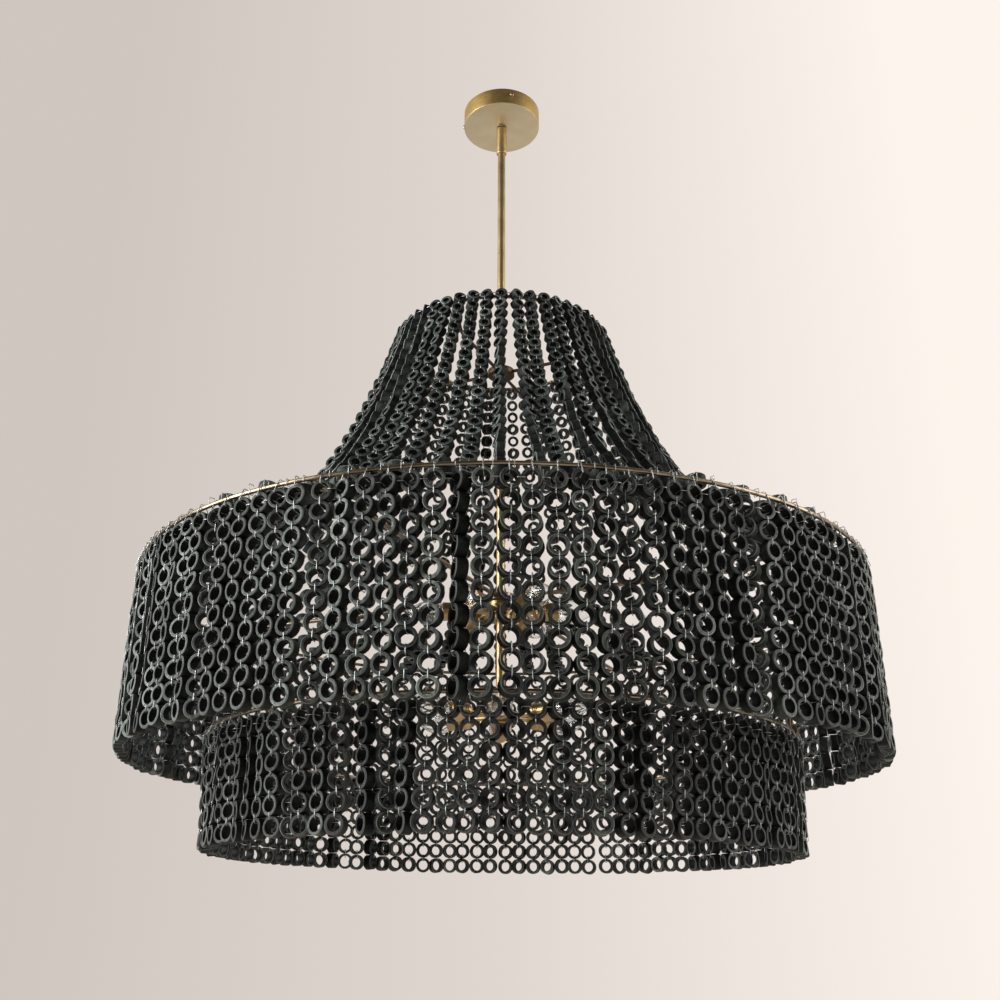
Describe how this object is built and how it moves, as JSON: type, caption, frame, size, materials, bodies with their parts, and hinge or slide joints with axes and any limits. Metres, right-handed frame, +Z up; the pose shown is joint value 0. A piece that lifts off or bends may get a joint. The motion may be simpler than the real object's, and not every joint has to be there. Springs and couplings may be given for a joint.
{
  "type": "beaded chandelier",
  "caption": "Stem-hung chandelier with a draped crown of bead strands over two tiers of ring-bead curtains, brass rings and candle lamps inside.",
  "frame": {"origin": "centre of the ceiling plate's top face, on the ceiling", "axes": "+Z up along the stem, -Y towards the viewer of the picture"},
  "size_m": [0.9878, 0.9878, 1.1805],
  "materials": {
    "steel": "zinc plated",
    "canopy_brass": "satin aged brass",
    "stem_brass": "satin aged brass",
    "ring_brass": "brushed brass",
    "dark_brass": "darkened brass",
    "lamp_brass": "satin aged brass",
    "bulb_glass": "clear",
    "crown_beads": "charcoal stain with a dusty bloom",
    "tier_beads": "charcoal stain with a dusty bloom and sanded faces"
  },
  "bodies": {
    "ceiling": {"ceiling_plate": "steel", "swivel_yoke": "steel", "canopy": "canopy_brass"},
    "swivel_cross": {"swivel_cross": "steel"},
    "fixture": {"swivel_head": "steel", "canopy_collar": "stem_brass", "stem_upper": "stem_brass", "stem_coupler": "steel", "stem_lower": "stem_brass", "stem_finial": "lamp_brass", "crown_ring": "dark_brass", "upper_ring": "ring_brass", "lower_ring": "ring_brass", "crown_spider": "dark_brass", "upper_spider": "ring_brass", "upper_lamp_cluster": "lamp_brass", "lower_lamp_cluster": "lamp_brass", "hanger_1": "dark_brass", "hanger_2": "dark_brass", "hanger_3": "dark_brass", "hanger_4": "dark_brass", "crown_strands_1": "crown_beads", "crown_strands_2": "crown_beads", "crown_strands_3": "crown_beads", "crown_strands_4": "crown_beads", "upper_curtain_1": "tier_beads", "upper_curtain_2": "tier_beads", "upper_curtain_3": "tier_beads", "upper_curtain_4": "tier_beads", "lower_curtain_1": "tier_beads", "lower_curtain_2": "tier_beads", "lower_curtain_3": "tier_beads", "lower_curtain_4": "tier_beads", "upper_socket_1": "lamp_brass", "upper_socket_2": "lamp_brass", "upper_socket_3": "lamp_brass", "upper_socket_4": "lamp_brass", "upper_socket_5": "lamp_brass", "upper_socket_6": "lamp_brass", "lower_socket_1": "lamp_brass", "lower_socket_2": "lamp_brass", "lower_socket_3": "lamp_brass", "lower_socket_4": "lamp_brass", "lower_socket_5": "lamp_brass", "lower_socket_6": "lamp_brass"},
    "canopy_screw_1": {"canopy_screw_1": "canopy_brass"},
    "canopy_screw_2": {"canopy_screw_2": "canopy_brass"},
    "canopy_screw_3": {"canopy_screw_3": "canopy_brass"},
    "upper_bulb_1": {"upper_bulb_1": "bulb_glass"},
    "upper_bulb_2": {"upper_bulb_2": "bulb_glass"},
    "upper_bulb_3": {"upper_bulb_3": "bulb_glass"},
    "upper_bulb_4": {"upper_bulb_4": "bulb_glass"},
    "upper_bulb_5": {"upper_bulb_5": "bulb_glass"},
    "upper_bulb_6": {"upper_bulb_6": "bulb_glass"},
    "lower_bulb_1": {"lower_bulb_1": "bulb_glass"},
    "lower_bulb_2": {"lower_bulb_2": "bulb_glass"},
    "lower_bulb_3": {"lower_bulb_3": "bulb_glass"},
    "lower_bulb_4": {"lower_bulb_4": "bulb_glass"},
    "lower_bulb_5": {"lower_bulb_5": "bulb_glass"},
    "lower_bulb_6": {"lower_bulb_6": "bulb_glass"}
  },
  "joints": [
    {"name": "swing_front_back", "type": "hinge", "parent": "ceiling", "child": "swivel_cross", "pos_m": [0, 0, -0.014], "axis": [1, 0, 0], "range_deg": [-4, 4]},
    {"name": "swing_side", "type": "hinge", "parent": "swivel_cross", "child": "fixture", "pos_m": [0, 0, -0.014], "axis": [0, 1, 0], "range_deg": [-4, 4]},
    {"name": "canopy_screw_1_turn", "type": "hinge", "parent": "ceiling", "child": "canopy_screw_1", "pos_m": [0.01592, -0.0594, -0.012], "axis": [0.2588, -0.9659, 0], "continuous": true},
    {"name": "canopy_screw_2_turn", "type": "hinge", "parent": "ceiling", "child": "canopy_screw_2", "pos_m": [0.04349, 0.04349, -0.012], "axis": [0.7071, 0.7071, 0], "continuous": true},
    {"name": "canopy_screw_3_turn", "type": "hinge", "parent": "ceiling", "child": "canopy_screw_3", "pos_m": [-0.0594, 0.01592, -0.012], "axis": [-0.9659, 0.2588, 0], "continuous": true},
    {"name": "upper_bulb_1_turn", "type": "hinge", "parent": "fixture", "child": "upper_bulb_1", "pos_m": [0.08, 0, -0.852], "axis": [1, 0, 0], "continuous": true},
    {"name": "upper_bulb_2_turn", "type": "hinge", "parent": "fixture", "child": "upper_bulb_2", "pos_m": [0.04, 0.06928, -0.852], "axis": [0.5, 0.866, 0], "continuous": true},
    {"name": "upper_bulb_3_turn", "type": "hinge", "parent": "fixture", "child": "upper_bulb_3", "pos_m": [-0.04, 0.06928, -0.852], "axis": [-0.5, 0.866, 0], "continuous": true},
    {"name": "upper_bulb_4_turn", "type": "hinge", "parent": "fixture", "child": "upper_bulb_4", "pos_m": [-0.08, 0, -0.852], "axis": [-1, 0, 0], "continuous": true},
    {"name": "upper_bulb_5_turn", "type": "hinge", "parent": "fixture", "child": "upper_bulb_5", "pos_m": [-0.04, -0.06928, -0.852], "axis": [-0.5, -0.866, 0], "continuous": true},
    {"name": "upper_bulb_6_turn", "type": "hinge", "parent": "fixture", "child": "upper_bulb_6", "pos_m": [0.04, -0.06928, -0.852], "axis": [0.5, -0.866, 0], "continuous": true},
    {"name": "lower_bulb_1_turn", "type": "hinge", "parent": "fixture", "child": "lower_bulb_1", "pos_m": [0.06928, 0.04, -0.997], "axis": [0.866, 0.5, 0], "continuous": true},
    {"name": "lower_bulb_2_turn", "type": "hinge", "parent": "fixture", "child": "lower_bulb_2", "pos_m": [0, 0.08, -0.997], "axis": [0, 1, 0], "continuous": true},
    {"name": "lower_bulb_3_turn", "type": "hinge", "parent": "fixture", "child": "lower_bulb_3", "pos_m": [-0.06928, 0.04, -0.997], "axis": [-0.866, 0.5, 0], "continuous": true},
    {"name": "lower_bulb_4_turn", "type": "hinge", "parent": "fixture", "child": "lower_bulb_4", "pos_m": [-0.06928, -0.04, -0.997], "axis": [-0.866, -0.5, 0], "continuous": true},
    {"name": "lower_bulb_5_turn", "type": "hinge", "parent": "fixture", "child": "lower_bulb_5", "pos_m": [0, -0.08, -0.997], "axis": [0, -1, 0], "continuous": true},
    {"name": "lower_bulb_6_turn", "type": "hinge", "parent": "fixture", "child": "lower_bulb_6", "pos_m": [0.06928, -0.04, -0.997], "axis": [0.866, -0.5, 0], "continuous": true}
  ]
}
